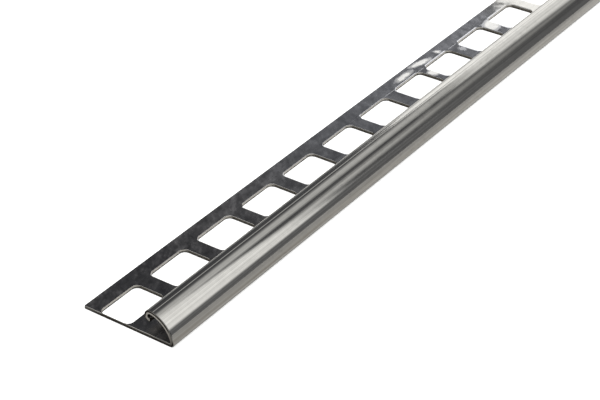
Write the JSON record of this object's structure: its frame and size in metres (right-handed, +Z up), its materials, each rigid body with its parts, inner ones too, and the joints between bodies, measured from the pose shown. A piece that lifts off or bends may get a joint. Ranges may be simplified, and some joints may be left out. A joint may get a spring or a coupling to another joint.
{
  "type": "tile edge trim",
  "caption": "Straight strip of thin stainless sheet with a quarter-round face, a small curled lip and a flat leg punched with a row of rounded holes.",
  "frame": {"origin": "middle of the overall box at the underside of the leg, which lies on the floor", "axes": "+X along the strip away from the end whose first hole almost meets the cut, +Y from the rounded face to the leg's free edge, +Z up through the curled lip"},
  "size_m": [1, 0.029, 0.0085],
  "materials": {
    "stainless_sheet": "bright, lightly brushed along the length"
  },
  "bodies": {
    "root": {"edge_trim": "stainless_sheet"}
  },
  "joints": []
}
